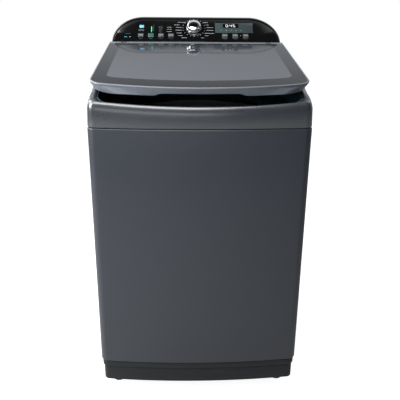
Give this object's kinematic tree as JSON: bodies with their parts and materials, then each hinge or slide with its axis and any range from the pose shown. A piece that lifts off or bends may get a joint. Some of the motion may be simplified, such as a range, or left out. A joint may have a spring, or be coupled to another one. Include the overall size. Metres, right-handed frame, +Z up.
{
  "type": "top load washing machine",
  "caption": "Upright washing machine with a bowed steel cabinet, sloping glass lid, arched control console and a suspended tub with basket and pulsator.",
  "frame": {"origin": "on the floor, at the middle of the overall box", "axes": "+Z up, front towards -Y, +X to the right seen from the front"},
  "size_m": [0.6, 0.696, 1.0914],
  "materials": {
    "cabinet_paint": "satin grey paint",
    "cover_plastic": "satin grey moulded plastic",
    "base_plastic": "moulded, fine grain",
    "black_gloss": "black high gloss",
    "black_plastic": "moulded black",
    "deck_black": "moulded dark grey",
    "galvanised": "galvanised sheet",
    "steel": "turned steel",
    "stainless": "pressed stainless sheet",
    "alloy": "die cast",
    "rubber_black": "moulded rubber",
    "glass_tinted": "tempered, printed border",
    "display_glass": "smoked window",
    "button_grey": "fine satin",
    "tub_white": "moulded polypropylene",
    "pulsator_plastic": "moulded",
    "valve_white": "moulded nylon",
    "board_green": "solder mask",
    "copper_core": "laminated core and windings"
  },
  "bodies": {
    "cabinet": {"cabinet_wrap": "cabinet_paint", "rear_panel": "galvanised", "base_frame": "base_plastic", "bottom_shield": "black_plastic", "rear_feet": "black_plastic", "top_cover": "cover_plastic", "inner_deck": "deck_black", "console_housing": "black_gloss", "console_panel": "black_gloss", "display_window": "display_glass", "control_board": "board_green", "inlet_valves": "valve_white", "dispenser_housing": "valve_white", "lid_bumpers": "rubber_black", "lid_lock": "black_plastic", "pressure_switch": "valve_white", "cord_gland": "black_plastic", "drain_hose": "rubber_black", "drain_outlet": "black_plastic", "corner_brackets": "galvanised", "suspension_rods": "steel", "spring_cups": "black_plastic", "suspension_springs": "steel"},
    "lid": {"lid_frame": "cover_plastic", "lid_glass": "glass_tinted", "lid_striker": "steel", "hinge_pins": "steel"},
    "foot_left": {"front_foot_left": "black_plastic"},
    "foot_right": {"front_foot_right": "black_plastic"},
    "knob": {"knob": "black_gloss", "knob_spindle": "steel"},
    "drawer": {"detergent_drawer": "pulsator_plastic"},
    "bolt": {"lock_bolt": "valve_white"},
    "tub": {"outer_tub": "tub_white", "tub_floor": "tub_white", "tub_lugs": "tub_white", "tub_cover": "tub_white", "mounting_plate": "galvanised", "gearbox_housing": "alloy", "shaft_bearings": "steel", "shaft_seal": "rubber_black", "motor_housing": "galvanised", "drive_belt": "rubber_black", "run_capacitor": "valve_white", "drain_valve": "black_plastic"},
    "basket": {"basket": "stainless", "basket_floor": "stainless", "balance_ring": "pulsator_plastic", "basket_hub": "alloy", "spin_tube": "steel"},
    "pulsator": {"pulsator": "pulsator_plastic", "pulsator_shaft": "steel", "driven_pulley": "alloy"},
    "motor": {"motor_rotor": "copper_core", "motor_pulley": "steel"},
    "button_1": {"button_1": "button_grey"},
    "button_2": {"button_2": "button_grey"},
    "button_3": {"button_3": "button_grey"},
    "button_4": {"button_4": "button_grey"},
    "button_5": {"button_5": "button_grey"},
    "button_6": {"button_6": "button_grey"},
    "button_7": {"button_7": "button_grey"},
    "power_button": {"power_button": "button_grey"}
  },
  "joints": [
    {"name": "lid_hinge", "type": "hinge", "parent": "cabinet", "child": "lid", "pos_m": [0, 0.225, 1.00691], "axis": [-1, 0, 0], "range_deg": [0, 85]},
    {"name": "foot_left_thread", "type": "hinge", "parent": "cabinet", "child": "foot_left", "pos_m": [-0.255, -0.268, 0.03], "axis": [0, 0, 1], "continuous": true},
    {"name": "foot_right_thread", "type": "hinge", "parent": "cabinet", "child": "foot_right", "pos_m": [0.255, -0.268, 0.03], "axis": [0, 0, 1], "continuous": true},
    {"name": "knob_turn", "type": "hinge", "parent": "cabinet", "child": "knob", "pos_m": [-0.008, 0.28258, 1.0579], "axis": [0, -0.6691, 0.7431], "continuous": true},
    {"name": "drawer_slide", "type": "slide", "parent": "cabinet", "child": "drawer", "axis": [0, -1, 0], "range_m": [0, 0.09]},
    {"name": "bolt_slide", "type": "slide", "parent": "cabinet", "child": "bolt", "axis": [0, -1, 0], "range_m": [0, 0.01]},
    {"name": "tub_bounce", "type": "slide", "parent": "cabinet", "child": "tub", "axis": [0, 0, 1], "range_m": [-0.03, 0.01], "stiffness_N_per_m": 12000, "springref_m": 0.03, "deforming": ["suspension_springs"]},
    {"name": "basket_spin", "type": "hinge", "parent": "tub", "child": "basket", "pos_m": [0, -0.03, 0.5], "axis": [0, 0, 1], "continuous": true},
    {"name": "pulsator_turn", "type": "hinge", "parent": "tub", "child": "pulsator", "pos_m": [0, -0.03, 0.3], "axis": [0, 0, 1], "continuous": true},
    {"name": "motor_spin", "type": "hinge", "parent": "tub", "child": "motor", "pos_m": [0.15, -0.03, 0.2], "axis": [0, 0, 1], "continuous": true},
    {"name": "button_1_press", "type": "slide", "parent": "cabinet", "child": "button_1", "axis": [0, 0.6691, -0.7431], "range_m": [0, 0.0012], "stiffness_N_per_m": 600, "springref_m": -0.0006},
    {"name": "button_2_press", "type": "slide", "parent": "cabinet", "child": "button_2", "axis": [0, 0.6691, -0.7431], "range_m": [0, 0.0012], "stiffness_N_per_m": 600, "springref_m": -0.0006},
    {"name": "button_3_press", "type": "slide", "parent": "cabinet", "child": "button_3", "axis": [0, 0.6691, -0.7431], "range_m": [0, 0.0012], "stiffness_N_per_m": 600, "springref_m": -0.0006},
    {"name": "button_4_press", "type": "slide", "parent": "cabinet", "child": "button_4", "axis": [0, 0.6691, -0.7431], "range_m": [0, 0.0012], "stiffness_N_per_m": 600, "springref_m": -0.0006},
    {"name": "button_5_press", "type": "slide", "parent": "cabinet", "child": "button_5", "axis": [0, 0.6691, -0.7431], "range_m": [0, 0.0012], "stiffness_N_per_m": 600, "springref_m": -0.0006},
    {"name": "button_6_press", "type": "slide", "parent": "cabinet", "child": "button_6", "axis": [0, 0.6691, -0.7431], "range_m": [0, 0.0012], "stiffness_N_per_m": 600, "springref_m": -0.0006},
    {"name": "button_7_press", "type": "slide", "parent": "cabinet", "child": "button_7", "axis": [0, 0.6691, -0.7431], "range_m": [0, 0.0012], "stiffness_N_per_m": 600, "springref_m": -0.0006},
    {"name": "power_button_press", "type": "slide", "parent": "cabinet", "child": "power_button", "axis": [0, 0.6691, -0.7431], "range_m": [0, 0.0012], "stiffness_N_per_m": 600, "springref_m": -0.0006}
  ],
  "couplings": [
    {"joint": "motor_spin", "follows": "pulsator_turn", "ratio": 4.3182}
  ]
}
